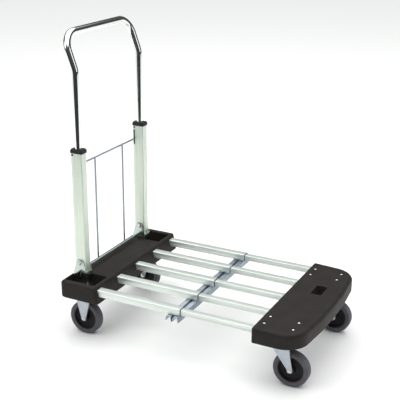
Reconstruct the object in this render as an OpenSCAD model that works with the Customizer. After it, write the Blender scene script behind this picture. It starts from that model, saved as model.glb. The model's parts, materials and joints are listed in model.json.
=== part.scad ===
// Folding platform cart with an extending deck and a telescopic handle.
// +X runs from the handle to the front of the deck, +Y to the left of a person
// who pushes, +Z up. The origin is on the floor, under the middle of the cart.

/* [Overall] */
// Width of the deck, over the outer rails
cart_w = 470; // [450:1:500]
// Height of the load surface of the front deck
deck_z = 175; // [172:1:185]
// Distance from the handle's posts to the front edge of the deck
reach = 703; // [690:1:740]
// How far the deck extends from its shortest length
extend_l = 200; // [120:1:200]

/* [Wheels] */
// Radius of each wheel
wheel_r = 50; // [46:0.5:50]
// Width of each tyre
tyre_w = 26; // [20:1:26]
// Radius of the moulded hub inside the tyre
hub_r = 36; // [33:0.5:38]
// Distance of each wheel from the middle plane
wheel_y = 171; // [168:1:174]
// Front caster's trail, from swivel axis to axle
trail = 33.5; // [28:0.5:36]
// Radius of each axle bolt
axle_r = 4; // [3:0.25:4.5]

/* [Rails] */
// Spacing of the five rails
rail_pitch = 105; // [104:0.5:107]
// Width of an outer rail
rail_w = 24; // [20:0.5:28]
// Height of an outer rail
rail_h = 20.5; // [19.5:0.25:21]
// Wall of an outer rail
rail_wall = 1.8; // [1.5:0.1:2]

/* [Handle] */
// Size of a post along X
post_d = 36; // [34:0.5:38]
// Size of a post along Y
post_w = 25; // [24.5:0.5:27]
// Distance of each post from the middle plane
post_y = 166; // [164:0.5:168]
// Height of the fold axis
pivot_z = 219; // [214:1:222]
// Radius of the handle's round tube
tube_r = 10; // [8.5:0.25:10]
// Height of the handle's top bar, to its middle
bar_z = 868; // [850:1:900]
// How far the top bar sits behind the posts
bar_back = 35; // [20:1:45]
// Corner radius of the handle, to the tube's middle
corner_r = 50; // [40:1:60]
// How far the handle slides down into its posts
tele_l = 200; // [120:1:200]

/* [Fit] */
// Radial gap between a turning part and its shaft
run_gap = 0.06; // [0.03:0.01:0.1]

/* [Hidden] */
$fn = 48;
eps = 0.01;

// ---- places along X ----
back_x = -bar_back - tube_r;                 // rearmost point, behind the posts
post_x = -(reach + back_x) / 2;              // fold axis and posts
deck_front_x = post_x + reach;
deck_rear_x = deck_front_x - 145;
rear_back_x = post_x - 34;
rear_front_x = post_x + 90;
rail_start_x = post_x + 72;
rail_end_x = post_x + 344;
slide_start_x = rail_start_x + extend_l + 12;
slide_end_x = deck_rear_x + 42;
rail_screw_x = rail_start_x + 4.5;
cross_x = post_x + 305.5;
rivet_xs = [cross_x + 10, cross_x + 30];
rear_axle_x = post_x + 10;
swivel_x = post_x + 616.5;
front_axle_x = swivel_x + trail;

// ---- heights ----
rear_top_z = deck_z + 5;
rear_low_z = 130;
deck_low_z = 132;
skin_low_z = deck_z - 3.5;                   // underside of the front deck's top skin
rail_top_z = deck_z - 5;
rail_low_z = rail_top_z - rail_h;
rail_mid_z = rail_low_z + rail_h / 2;
slide_w = rail_w - 2 * rail_wall - 1;
slide_h = rail_h - 2 * rail_wall - 0.9;

// ---- rear pockets that hold the hinge brackets ----
pocket_in_y = post_y - 16.5;
pocket_out_y = 217;
pocket_back_x = post_x - 28;
pocket_front_x = post_x + 70;
pocket_floor_z = 148;
skin = 4;
floor_low_z = pocket_floor_z - skin;

// ---- ribs, bosses and ledges of the housings ----
rib_t = 3;
front_rib_h = 8;
front_rib_l = 128;
front_rib_gap = 64;
rear_rib_pitch = 0.9 * rail_pitch;
ledge_l = 18;
ledge_w = 20;

// ---- plan of the front deck ----
deck_corner_r = 65;
deck_edge_r = 11;
deck_wall = 5;
hollow_r = 60;

// ---- hand hole in the front deck ----
hand_x = swivel_x + 5;
hand_y = 30;
hand_l = 29;
hand_w = 58;

// ---- folded sheet of the cross member ----
fold_gap = 20;                               // from one hanging leg to the next
fold_h = 14.5;
fold_t = 1.5;

// ---- hinge brackets ----
foot_back = 26;
foot_front = post_d / 2 + 2.9;
foot_reach = 48;
knee_back = 22.5;
web_top_z = pivot_z - 24;
bracket_screw_xs = [post_x - 18, post_x + 40];
cheek_y = post_w / 2 + 0.4;                  // from a post's middle to a cheek's inner face

// ---- fasteners, sheet and fork sizes ----
pivot_r = 4;
sheet = 2.5;
bolt_r = 2.5;
rivet_r = 2;
caster_dx = 40;
caster_dy = 21;
caster_l = 100;
caster_w = 60;
fork_in = 16.5;
leg_r = 8;
sink = 2;
sleeve_r = 6;
kingpin_r = 6;
plate_t = 3;
crown_z = 115;

// ---- posts, wire and handle ----
post_low_z = pivot_z - 43;
post_top_z = 545;
post_wall = 2;
cap_h = 12;
cap_pin_x = post_x - 12.5;
cap_pin_z = post_top_z - 5;
cap_pin_r = 2;
tube_low_z = pivot_z + pivot_r + 16 + tele_l;
tube_wall = 1.5;
bend_z = 770;
bend_r = 60;
lean = atan(bar_back / (bar_z - bend_z));
wire_r = 2.8;
wire_x = post_x - 13.1;
wire_z = 503;
wire_y = 74;
slot_h = 48;
slot_low_z = wire_z - 17;
rod_r = 3.6;
rod_x = post_x - 5;
rod_z = pivot_z - 26.5;

plastic = [0.20, 0.18, 0.16];
aluminium = [0.80, 0.82, 0.81];
zinc = [0.74, 0.78, 0.80];
bright = [0.86, 0.86, 0.87];
rubber = [0.30, 0.29, 0.31];

// ---- shared shapes ----

// A corner post for a hull: a round column whose top edge is rounded
module soft_corner(x, y, low, high, plan_r, top_r) {
    translate([x, y, low])
        cylinder(r = plan_r, h = high - low - top_r, $fn = 32);
    translate([x, y, high - top_r])
        rotate_extrude($fn = 32)
            intersection() {
                translate([plan_r - top_r, 0]) circle(r = top_r, $fn = 24);
                translate([0, 0]) square([plan_r + 1, top_r]);
            }
}

// A round column along Z whose upper and lower edges are both rounded
module soft_column(x, y, low, high, plan_r, edge_r) {
    middle = (low + high) / 2;
    soft_corner(x, y, middle, high, plan_r, edge_r);
    translate([0, 0, low + middle]) mirror([0, 0, 1]) soft_corner(x, y, low, middle, plan_r, edge_r);
}

// A rectangle with round corners, centred
module round_rect(w, h, r) {
    square([w - 2 * r, h], center = true);
    square([w, h - 2 * r], center = true);
    for (sx = [-1, 1], sy = [-1, 1])
        translate([sx * (w / 2 - r), sy * (h / 2 - r)]) circle(r = r);
}

// A bar along X of a flat outline drawn in Y and Z
module along_x(x0, x1) {
    translate([x0, 0, 0]) rotate([90, 0, 90]) linear_extrude(x1 - x0) children();
}

// A plate of an outline drawn in X and Z, from y0 towards +Y
module plate_y(y0, t) {
    translate([0, y0 + t, 0]) rotate([90, 0, 0]) linear_extrude(t) children();
}

module rod_y(x, z, y0, y1, r) {
    translate([x, y0, z]) rotate([-90, 0, 0]) cylinder(r = r, h = y1 - y0);
}

// A hexagonal nut or bolt head along +Z, from its lower face
module hexagon(r, h) {
    cylinder(r = r, h = h, $fn = 6);
}

// A low round head along +Z
module dome(r, h) {
    sphere_r = (r * r + h * h) / (2 * h);
    intersection() {
        translate([0, 0, h - sphere_r]) sphere(r = sphere_r);
        cylinder(r = r + 1, h = h + 1);
    }
}

// A bolt along Y through two plates, whose outer faces lie half either side of y.
// Its round head is on side s, and its nut on the other.
module cross_bolt(x, z, y, s, half, r) {
    translate([x, y - s * half, z]) rotate([-90 * s, 0, 0]) cylinder(r = r, h = 2 * half + 1);
    translate([x, y + s * half, z]) rotate([-90 * s, 0, 0]) dome(1.35 * r, 0.6 * r);
    translate([x, y - s * half, z]) rotate([90 * s, 0, 0]) {
        hexagon(1.7 * r, 1.1 * r);
        cylinder(r = 0.9 * r, h = 1.4 * r);
    }
}

function rail_y(i) = (i - 3) * rail_pitch;
function side_of(name) = name == "left" ? 1 : -1;

// ---- rails ----

// Outline of an outer rail: round edges, a shallow groove along each side
module outer_rail_outline() {
    difference() {
        round_rect(rail_w, rail_h, 2.5);
        for (s = [-1, 1])
            translate([s * rail_w / 2, 0]) square([0.8, 4], center = true);
    }
}

module outer_rail(i) {
    color(aluminium)
        translate([0, rail_y(i), 0])
            difference() {
                translate([0, 0, rail_mid_z])
                    along_x(rail_start_x, rail_end_x)
                        difference() {
                            outer_rail_outline();
                            square([rail_w - 2 * rail_wall, rail_h - 2 * rail_wall], center = true);
                        }
                translate([rail_screw_x, 0, rail_low_z - 1]) cylinder(r = bolt_r, h = rail_wall + 2);
                for (x = rivet_xs)
                    translate([x, 0, rail_low_z - 1]) cylinder(r = rivet_r, h = rail_wall + 2);
            }
}

module inner_rail_outline() {
    round_rect(slide_w, slide_h, 1.5);
}

module inner_rail(i) {
    color(aluminium)
        translate([0, rail_y(i), rail_mid_z])
            along_x(slide_start_x, slide_end_x)
                difference() {
                    inner_rail_outline();
                    square([slide_w - 3.2, slide_h - 3.2], center = true);
                }
}

// Plastic plug in the hidden end of each inner rail
module rail_end_plugs() {
    color(plastic)
        for (i = [1:5])
            translate([0, rail_y(i), rail_mid_z]) {
                along_x(slide_start_x - 4, slide_start_x)
                    square([slide_w + 0.4, slide_h + 0.3], center = true);
                along_x(slide_start_x - eps, slide_start_x + 20)
                    difference() {
                        square([slide_w - 3.4, slide_h - 3.4], center = true);
                        square([slide_w - 9, slide_h - 8], center = true);
                    }
            }
}

// ---- rear housing ----

module rear_shell() {
    hull() {
        for (s = [-1, 1]) {
            soft_column(rear_back_x + 14, s * (cart_w / 2 - 14), rear_low_z, rear_top_z, 14, 11);
            translate([rear_front_x - 8, s * (cart_w / 2 - 8), rear_low_z])
                cylinder(r = 8, h = 5, $fn = 32);
        }
        for (cut = [0, 4])
            rod_y(rear_front_x - 16, rear_top_z - 8, cut - cart_w / 2, cart_w / 2 - cut, 4 + cut, $fn = 48);
    }
}

module rear_hollows() {
    in_x = rear_back_x + skin;
    out_x = rear_front_x - 10;
    wall_y = pocket_in_y - skin;
    translate([in_x, -wall_y, rear_low_z - 1])
        cube([out_x - in_x, 2 * wall_y, rear_top_z - 5 - rear_low_z]);
    for (s = [0, 1]) mirror([0, s, 0]) {
        translate([in_x, pocket_in_y, rear_low_z - 1])
            cube([out_x - in_x, cart_w / 2 - skin - pocket_in_y, floor_low_z - rear_low_z + 1]);
        translate([pocket_back_x, pocket_in_y, pocket_floor_z])
            cube([pocket_front_x - pocket_back_x, pocket_out_y - pocket_in_y, rear_top_z]);
        translate([in_x, pocket_out_y + skin, rear_low_z - 1])
            cube([pocket_front_x - skin - in_x, cart_w / 2 - 2 * skin - pocket_out_y,
                  rear_top_z - 5 - rear_low_z]);
    }
}

module caster_bolt_places(x) {
    for (sx = [-1, 1], sy = [-1, 1], s = [-1, 1])
        translate([x + sx * caster_dx, s * wheel_y + sy * caster_dy, 0]) children();
}

// Ribs inside the rear housing, between the middle rails
module rear_ribs() {
    for (y = [-1.5, -0.5, 0.5, 1.5] * rear_rib_pitch)
        translate([rear_back_x + skin - eps, y - rib_t / 2, rear_low_z + 6])
            cube([rear_front_x - rear_back_x - skin - 9, rib_t, rear_top_z - 8 - rear_low_z]);
}

// A ledge under the hidden end of each middle rail
module rail_ledges() {
    for (i = [2:4])
        translate([rail_start_x - 5, rail_y(i) - ledge_w / 2, floor_low_z])
            cube([ledge_l, ledge_w, rail_low_z - floor_low_z]);
}

module rear_housing() {
    color(plastic)
        difference() {
            union() {
                difference() {
                    rear_shell();
                    rear_hollows();
                }
                intersection() {
                    rear_shell();
                    rear_ribs();
                }
                rail_ledges();
                caster_bolt_places(rear_axle_x)
                    translate([0, 0, rear_low_z]) cylinder(r = 6, h = floor_low_z + eps - rear_low_z);
            }
            for (i = [1:5])
                translate([0, rail_y(i), rail_mid_z])
                    along_x(rail_start_x, rear_front_x + 10) outer_rail_outline();
            caster_bolt_places(rear_axle_x)
                translate([0, 0, rear_low_z - 1]) cylinder(r = bolt_r, h = 15);
            for (s = [-1, 1], x = bracket_screw_xs)
                translate([x, s * post_y, pocket_floor_z - 6]) cylinder(r = bolt_r, h = 10);
            for (i = [1:5])
                translate([rail_screw_x, rail_y(i), rear_low_z - 1]) cylinder(r = bolt_r, h = 30);
        }
}

// One screw from below through the housing into each outer rail
module rail_screws() {
    color(bright)
        for (i = [1:5])
            translate([rail_screw_x, rail_y(i), floor_low_z]) {
                cylinder(r = bolt_r, h = rail_low_z + rail_wall - floor_low_z);
                mirror([0, 0, 1]) dome(3.4, 2);
            }
}

// ---- cross member ----

// A sheet with two flats under the rails and three hanging legs: a flange along
// each edge, and a narrow V between them. One half is listed, the other mirrored.
function mirrored(line) = [for (i = [len(line) - 1:-1:0]) [2 * fold_gap - line[i][0], line[i][1]]];

module cross_outline() {
    top = [[0, -fold_h], [3, 0], [fold_gap - 3.5, 0], [fold_gap - 0.6, fold_t - fold_h]];
    low = [[fold_gap - 2.1, -fold_h], [fold_gap - 4.7, -fold_t], [4.2, -fold_t], [1.5, -fold_h]];
    translate([cross_x, rail_low_z])
        polygon(concat(top, mirrored(top), mirrored(low), low));
}

module cross_member() {
    color(zinc)
        difference() {
            plate_y(-cart_w / 2 + 2, cart_w - 4) cross_outline();
            for (i = [1:5], x = rivet_xs)
                translate([x, rail_y(i), rail_low_z - 5]) cylinder(r = rivet_r, h = 10);
        }
}

module cross_member_rivets() {
    color(bright)
        for (i = [1:5], x = rivet_xs)
            translate([x, rail_y(i), rail_low_z - fold_t]) {
                cylinder(r = rivet_r, h = fold_t + rail_wall);
                mirror([0, 0, 1]) dome(2.9, 1.2);
            }
}

// ---- hinge brackets ----

// A bell-shaped cheek, with a leaning slit below the fold axis
module bracket_side() {
    knee_z = pivot_z - 28;
    difference() {
        union() {
            translate([post_x + 1, pivot_z]) circle(r = 11);
            polygon([[post_x - 9, pivot_z + 4], [post_x - knee_back, knee_z],
                     [post_x - foot_back, pocket_floor_z + 20], [post_x - foot_back, pocket_floor_z],
                     [post_x + foot_front, pocket_floor_z], [post_x + foot_front, knee_z],
                     [post_x + 11.5, pivot_z + 2]]);
        }
        translate([post_x, pivot_z]) circle(r = pivot_r);
        translate([post_x, knee_z - 9]) rotate(-14) square([3, 30], center = true);
    }
}

module hinge_bracket(name) {
    s = side_of(name);
    inner_w = 2 * (cheek_y + eps);
    color(zinc)
        difference() {
            union() {
                for (k = [-1, 1])
                    translate([0, s * post_y + k * (cheek_y + sheet / 2), 0])
                        plate_y(-sheet / 2, sheet) bracket_side();
                translate([post_x - foot_back, s * post_y - inner_w / 2, pocket_floor_z])
                    cube([foot_back + foot_reach, inner_w, sheet]);
                translate([post_x + post_d / 2 + 0.4, s * post_y - inner_w / 2, pocket_floor_z])
                    cube([sheet, inner_w, web_top_z - pocket_floor_z]);
            }
            for (x = bracket_screw_xs)
                translate([x, s * post_y, pocket_floor_z - 1]) cylinder(r = bolt_r, h = 5);
            rod_y(rod_x, rod_z, post_w / 2 - post_y, post_y - post_w / 2, rod_r);
        }
}

module bracket_screws() {
    color(bright)
        for (s = [-1, 1], x = bracket_screw_xs)
            translate([x, s * post_y, pocket_floor_z]) {
                translate([0, 0, -6]) cylinder(r = bolt_r, h = 6 + sheet);
                translate([0, 0, sheet]) dome(5, 2.4);
            }
}

module pivot_bolts() {
    color(bright)
        for (s = [-1, 1])
            cross_bolt(post_x, pivot_z, s * post_y, s, cheek_y + sheet, pivot_r);
}

module tie_rod() {
    end_y = post_y - cheek_y;
    color(zinc) rod_y(rod_x, rod_z, -end_y, end_y, rod_r);
}

// ---- casters ----

module rear_leg_outline() {
    union() {
        translate([rear_axle_x, wheel_r]) circle(r = leg_r);
        polygon([[rear_axle_x - 28, rear_low_z - plate_t], [rear_axle_x - leg_r + 0.1, wheel_r - 1],
                 [rear_axle_x + leg_r - 0.1, wheel_r - 1], [rear_axle_x + 28, rear_low_z - plate_t]]);
    }
}

module rear_fork(name) {
    y = side_of(name) * wheel_y;
    color(zinc)
        difference() {
            union() {
                for (y0 = [fork_in, -fork_in - sheet])
                    plate_y(y + y0, sheet) rear_leg_outline();
                translate([rear_axle_x - caster_l / 2, y - caster_w / 2, rear_low_z - plate_t])
                    cube([caster_l, caster_w, plate_t]);
            }
            rod_y(rear_axle_x, wheel_r, y - 40, y + 40, axle_r);
            for (sx = [-1, 1], sy = [-1, 1])
                translate([rear_axle_x + sx * caster_dx, y + sy * caster_dy, rear_low_z - 5])
                    cylinder(r = bolt_r, h = 10);
        }
}

module rear_caster_screws() {
    color(bright)
        caster_bolt_places(rear_axle_x)
            translate([0, 0, rear_low_z - plate_t]) {
                cylinder(r = bolt_r, h = 15);
                mirror([0, 0, 1]) hexagon(4.6, 3.5);
            }
}

// An axle bolt across one fork, its head on the outer leg
module axle_bolt(x, y, s) {
    cross_bolt(x, wheel_r, y, s, fork_in + sheet, axle_r);
}

module axle_sleeve(x, y) {
    difference() {
        rod_y(x, wheel_r, y - fork_in, y + fork_in, sleeve_r);
        rod_y(x, wheel_r, y - 40, y + 40, axle_r);
    }
}

module rear_axles() {
    color(bright) for (s = [-1, 1]) axle_bolt(rear_axle_x, s * wheel_y, s);
}

module rear_axle_sleeves() {
    color(bright) for (s = [-1, 1]) axle_sleeve(rear_axle_x, s * wheel_y);
}

module front_caster_plate(name) {
    s = side_of(name);
    color(zinc)
        difference() {
            union() {
                translate([swivel_x, s * wheel_y, deck_low_z - plate_t])
                    linear_extrude(plate_t) round_rect(caster_l, caster_w, 6);
                translate([swivel_x, s * wheel_y, 0])
                    rotate_extrude()
                        polygon([[12, deck_low_z - plate_t + eps], [25, deck_low_z - plate_t + eps],
                                 [24, crown_z + 6], [20, crown_z + 3.4], [12, crown_z + 3.4]]);
            }
            translate([swivel_x, s * wheel_y, crown_z]) cylinder(r = kingpin_r, h = 30);
            for (sx = [-1, 1], sy = [-1, 1])
                translate([swivel_x + sx * caster_dx, s * wheel_y + sy * caster_dy, 0])
                    cylinder(r = bolt_r, h = 200);
        }
}

module front_kingpins() {
    color(bright)
        for (s = [-1, 1]) translate([swivel_x, s * wheel_y, 0]) {
            translate([0, 0, crown_z - 0.4]) cylinder(r = kingpin_r, h = deck_low_z - crown_z + 0.4);
            translate([0, 0, crown_z - 4.4]) cylinder(r = 10, h = 4.1);
            translate([0, 0, deck_low_z]) dome(8, 2);
        }
}

module front_leg_outline() {
    union() {
        translate([front_axle_x, wheel_r]) circle(r = leg_r);
        polygon([[swivel_x - 22, crown_z + 3], [swivel_x - 20, crown_z - 8],
                 [front_axle_x - leg_r + 0.1, wheel_r + 1], [front_axle_x + leg_r - 0.1, wheel_r + 1],
                 [swivel_x + 30, crown_z - 4], [swivel_x + 26, crown_z + 3]]);
    }
}

module front_fork(name) {
    y = side_of(name) * wheel_y;
    color(zinc)
        difference() {
            union() {
                for (y0 = [fork_in, -fork_in - sheet])
                    plate_y(y + y0, sheet) front_leg_outline();
                translate([swivel_x, y, crown_z]) cylinder(r = 26, h = 3);
            }
            rod_y(front_axle_x, wheel_r, y - 40, y + 40, axle_r);
            translate([swivel_x, y, crown_z - 5]) cylinder(r = kingpin_r + run_gap, h = 12);
        }
}

module front_axle(name) {
    s = side_of(name);
    color(bright) axle_bolt(front_axle_x, s * wheel_y, s);
}

module front_axle_sleeve(name) {
    color(bright) axle_sleeve(front_axle_x, side_of(name) * wheel_y);
}

// ---- wheels ----

// Turns a half outline, drawn with radius along X and width along Y, about the axle
module about_axle(x, y) {
    translate([x, y, wheel_r]) rotate([90, 0, 0]) rotate_extrude($fn = 96) children();
}

module hub(x, y) {
    half = tyre_w / 2;
    bore = sleeve_r + run_gap;
    color(plastic)
        about_axle(x, y)
            polygon([[bore, -half - 2.5], [12, -half - 2.5], [14, -4], [hub_r - 6, -4],
                     [hub_r - 4, -half + 1], [hub_r, -half + 1], [hub_r, -4], [hub_r - 1, -3],
                     [hub_r - 1, 3], [hub_r, 4], [hub_r, half - 1], [hub_r - 4, half - 1],
                     [hub_r - 6, 4], [14, 4], [12, half + 2.5], [bore, half + 2.5]]);
}

module tyre(x, y) {
    half = tyre_w / 2;
    round_r = 3.5;
    color(rubber)
        about_axle(x, y)
            difference() {
                translate([hub_r - 1, 0])
                    union() {
                        translate([0, -half]) square([wheel_r - round_r - hub_r + 1, tyre_w]);
                        translate([0, round_r - half])
                            square([wheel_r - hub_r + 1, tyre_w - 2 * round_r]);
                        for (s = [-1, 1])
                            translate([wheel_r - hub_r + 1 - round_r, s * (half - round_r)])
                                circle(r = round_r);
                    }
                polygon([[hub_r - 2, -half - 1], [hub_r, -half - 1], [hub_r, -4], [hub_r - 1, -3],
                         [hub_r - 1, 3], [hub_r, 4], [hub_r, half + 1], [hub_r - 2, half + 1]]);
            }
}

// ---- front deck ----

module front_shell() {
    hull() {
        for (s = [-1, 1]) {
            soft_corner(deck_rear_x + 6, s * (cart_w / 2 - 6), deck_low_z, deck_z, 6, 5);
            soft_corner(deck_front_x - deck_corner_r - 10, s * (cart_w / 2 - deck_corner_r),
                        deck_low_z, deck_z, deck_corner_r, deck_edge_r);
            soft_corner(deck_front_x - deck_corner_r - 2, s * 85,
                        deck_low_z, deck_z, deck_corner_r, deck_edge_r);
        }
        soft_corner(deck_front_x - deck_corner_r, 0, deck_low_z, deck_z, deck_corner_r, deck_edge_r);
    }
}

// The hollow under the deck: a rectangle with two large round corners
module front_hollow() {
    half = cart_w / 2 - deck_wall;
    near_x = deck_rear_x + deck_wall;
    far_x = deck_front_x - 15;
    translate([0, 0, deck_low_z - 1])
        linear_extrude(skin_low_z - deck_low_z + 1)
            union() {
                translate([near_x, -half]) square([far_x - hollow_r - near_x, 2 * half]);
                translate([near_x, hollow_r - half]) square([far_x - near_x, 2 * (half - hollow_r)]);
                for (s = [-1, 1])
                    translate([far_x - hollow_r, s * (half - hollow_r)]) circle(r = hollow_r);
            }
}

// Shallow ribs under the deck's skin, and a wall round the hand hole
module front_ribs() {
    low = skin_low_z - front_rib_h;
    for (y = [-1.5, -0.5, 0.5, 1.5] * rail_pitch)
        translate([deck_rear_x + deck_wall - 1, y - rib_t / 2, low])
            cube([front_rib_l, rib_t, front_rib_h + eps]);
    for (x = [slide_end_x, slide_end_x + front_rib_gap])
        translate([x, 20 - cart_w / 2, low]) cube([rib_t, cart_w - 40, front_rib_h + eps]);
    translate([hand_x - rib_t, hand_y - rib_t, deck_low_z + 4])
        cube([hand_l + 2 * rib_t, hand_w + 2 * rib_t, skin_low_z + eps - deck_low_z - 4]);
}

module front_housing() {
    color(plastic)
        difference() {
            union() {
                difference() {
                    front_shell();
                    front_hollow();
                }
                intersection() {
                    front_shell();
                    front_ribs();
                }
                caster_bolt_places(swivel_x)
                    translate([0, 0, deck_low_z]) cylinder(r = 7, h = skin_low_z + eps - deck_low_z);
            }
            for (i = [1:5])
                translate([0, rail_y(i), rail_mid_z])
                    along_x(deck_rear_x - 10, slide_end_x) inner_rail_outline();
            caster_bolt_places(swivel_x) {
                cylinder(r = bolt_r, h = 300);
                translate([0, 0, deck_z - sink]) cylinder(r = 4.8, h = 10);
            }
            for (s = [-1, 1])
                translate([swivel_x, s * wheel_y, deck_low_z - 1]) cylinder(r = 11, h = 12);
            translate([hand_x, hand_y, deck_low_z - 10]) cube([hand_l, hand_w, 100]);
        }
}

// Bolts from the deck's top down through each front caster plate
module front_deck_bolts() {
    color(bright)
        caster_bolt_places(swivel_x) {
            translate([0, 0, deck_low_z - plate_t - 4])
                cylinder(r = bolt_r, h = deck_z - sink + 4 + plate_t - deck_low_z);
            translate([0, 0, deck_z - sink]) dome(4.4, sink - 0.1);
            translate([0, 0, deck_low_z - plate_t - 4]) hexagon(4.6, 4);
        }
}

// ---- posts and caps ----

module post_outline() {
    difference() {
        round_rect(post_d, post_w, 3);
        square([post_d - 2 * post_wall, post_w - 2 * post_wall], center = true);
        for (sx = [-1, 1], sy = [-1, 1]) {
            translate([sx * 5.5, sy * post_w / 2]) circle(r = 0.7);
            translate([sx * post_d / 2, sy * 4]) circle(r = 0.7);
        }
    }
}

module post(name) {
    s = side_of(name);
    color(aluminium)
        difference() {
            translate([post_x, s * post_y, post_low_z])
                linear_extrude(post_top_z - post_low_z) post_outline();
            rod_y(post_x, pivot_z, s * post_y - post_w, s * post_y + post_w, pivot_r + run_gap);
            translate([wire_x - wire_r - 0.3, s * (post_y - post_w / 2) - 5, slot_low_z])
                cube([2 * wire_r + 0.5, 10, slot_h]);
            for (k = [-1, 1])
                translate([cap_pin_x, s * post_y + k * post_w / 2, cap_pin_z])
                    rotate([90, 0, 0]) cylinder(r = cap_pin_r, h = 8, center = true);
        }
}

module post_cap(name) {
    s = side_of(name);
    tube_hole = tube_r + 0.3;
    color(plastic)
        difference() {
            union() {
                translate([post_x, s * post_y, post_top_z])
                    linear_extrude(cap_h - 3) round_rect(post_d + 4, post_w + 4, 4);
                translate([post_x, s * post_y, post_top_z + cap_h - 3 - eps])
                    linear_extrude(3) round_rect(post_d, post_w, 3);
                for (k = [-1, 1])
                    translate([post_x + k * 13.4 - 2.4, s * post_y - 9, post_top_z - 9])
                        cube([4.8, 18, 9 + eps]);
            }
            translate([post_x, s * post_y, post_top_z - 20]) cylinder(r = tube_hole, h = 40);
            for (k = [-1, 1])
                translate([cap_pin_x, s * post_y + k * 9, cap_pin_z])
                    rotate([90, 0, 0]) cylinder(r = cap_pin_r, h = 6, center = true);
        }
}

// Snap pins that hold the caps, through both side faces of each post
module cap_pins() {
    color(plastic)
        for (s = [-1, 1], k = [-1, 1])
            translate([cap_pin_x, s * post_y + k * post_w / 2, cap_pin_z])
                rotate([-90 * k, 0, 0]) {
                    translate([0, 0, -6]) cylinder(r = cap_pin_r, h = 6);
                    dome(3, 1);
                }
}

// ---- handle tube ----

// Cross-section of the handle's tube; the bends are drawn a little thinner
module tube_ring(slim = 0) {
    difference() {
        circle(r = tube_r - slim);
        circle(r = tube_r - tube_wall + slim);
    }
}

// A straight length along +Z, which laps into the bends at its ends
module tube_run(len, lap = 0.3) {
    translate([0, 0, -lap]) linear_extrude(len + 2 * lap) tube_ring();
}

module tube_bend(angle, r) {
    rotate_extrude(angle = angle) translate([r, 0]) tube_ring(0.05);
}

// A U of round tube: its legs bend back above the posts, and meet in a top bar
module handle_tube() {
    tan_l = bend_r * tan(lean / 2);
    leg_l = (bar_z - bend_z) / cos(lean) - tan_l - corner_r;
    color(bright) {
        for (s = [-1, 1]) translate([post_x, s * post_y, 0]) {
            translate([0, 0, tube_low_z]) tube_run(bend_z - tan_l - tube_low_z);
            translate([-bend_r, 0, bend_z - tan_l])
                rotate([90, 0, 0]) tube_bend(lean, bend_r);
            translate([0, 0, bend_z]) rotate([0, -lean, 0]) translate([0, 0, tan_l]) {
                tube_run(leg_l);
                translate([0, -s * corner_r, leg_l])
                    rotate([90, 0, 90 * s]) tube_bend(90, corner_r);
            }
        }
        translate([post_x - bar_back, corner_r - post_y, bar_z])
            rotate([-90, 0, 0]) tube_run(2 * (post_y - corner_r));
    }
}

// Plastic foot on each end of the handle tube, which guides it in its post
module tube_feet() {
    color(plastic)
        for (s = [-1, 1]) translate([post_x, s * post_y, 0]) {
            translate([0, 0, tube_low_z - 6.3])
                linear_extrude(6)
                    square([post_d - 2 * post_wall - 0.8, post_w - 2 * post_wall - 0.8], center = true);
            translate([0, 0, tube_low_z - 0.4]) cylinder(r = tube_r - tube_wall, h = 18);
        }
}

// ---- release frame ----

// A welded wire frame: its top bar reaches into a slot in each post
module release_frame() {
    end_y = post_y - post_w / 2 + 7;
    leg_low_z = rod_z + rod_r + 1.4;
    color(zinc) {
        rod_y(wire_x, wire_z, -end_y, end_y, wire_r);
        for (s = [-1, 1])
            translate([wire_x + 1.9 * wire_r, s * wire_y, leg_low_z])
                cylinder(r = wire_r, h = wire_z + 2.4 - leg_low_z);
    }
}

rear_housing();
cross_member();
cross_member_rivets();
rail_screws();
hinge_bracket("left");  // hinge_bracket_left
hinge_bracket("right");  // hinge_bracket_right
bracket_screws();
pivot_bolts();
tie_rod();
rear_fork("left");  // rear_fork_left
rear_fork("right");  // rear_fork_right
rear_caster_screws();
rear_axles();
rear_axle_sleeves();
outer_rail(1);  // outer_rail_1
outer_rail(2);  // outer_rail_2
outer_rail(3);  // outer_rail_3
outer_rail(4);  // outer_rail_4
outer_rail(5);  // outer_rail_5
front_housing();
front_deck_bolts();
rail_end_plugs();
front_caster_plate("left");  // front_caster_plate_left
front_caster_plate("right");  // front_caster_plate_right
front_kingpins();
inner_rail(1);  // inner_rail_1
inner_rail(2);  // inner_rail_2
inner_rail(3);  // inner_rail_3
inner_rail(4);  // inner_rail_4
inner_rail(5);  // inner_rail_5
front_fork("left");  // front_fork_left
front_fork("right");  // front_fork_right
front_axle("left");  // front_axle_left
front_axle("right");  // front_axle_right
front_axle_sleeve("left");  // front_axle_sleeve_left
front_axle_sleeve("right");  // front_axle_sleeve_right
hub(rear_axle_x, wheel_y);  // hub_rear_left
hub(rear_axle_x, -wheel_y);  // hub_rear_right
hub(front_axle_x, wheel_y);  // hub_front_left
hub(front_axle_x, -wheel_y);  // hub_front_right
tyre(rear_axle_x, wheel_y);  // tyre_rear_left
tyre(rear_axle_x, -wheel_y);  // tyre_rear_right
tyre(front_axle_x, wheel_y);  // tyre_front_left
tyre(front_axle_x, -wheel_y);  // tyre_front_right
post("left");  // post_left
post("right");  // post_right
post_cap("left");  // post_cap_left
post_cap("right");  // post_cap_right
cap_pins();
handle_tube();
tube_feet();
release_frame();
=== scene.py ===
import json
import math
import bpy
import bmesh
from mathutils import Matrix, Vector


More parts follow.
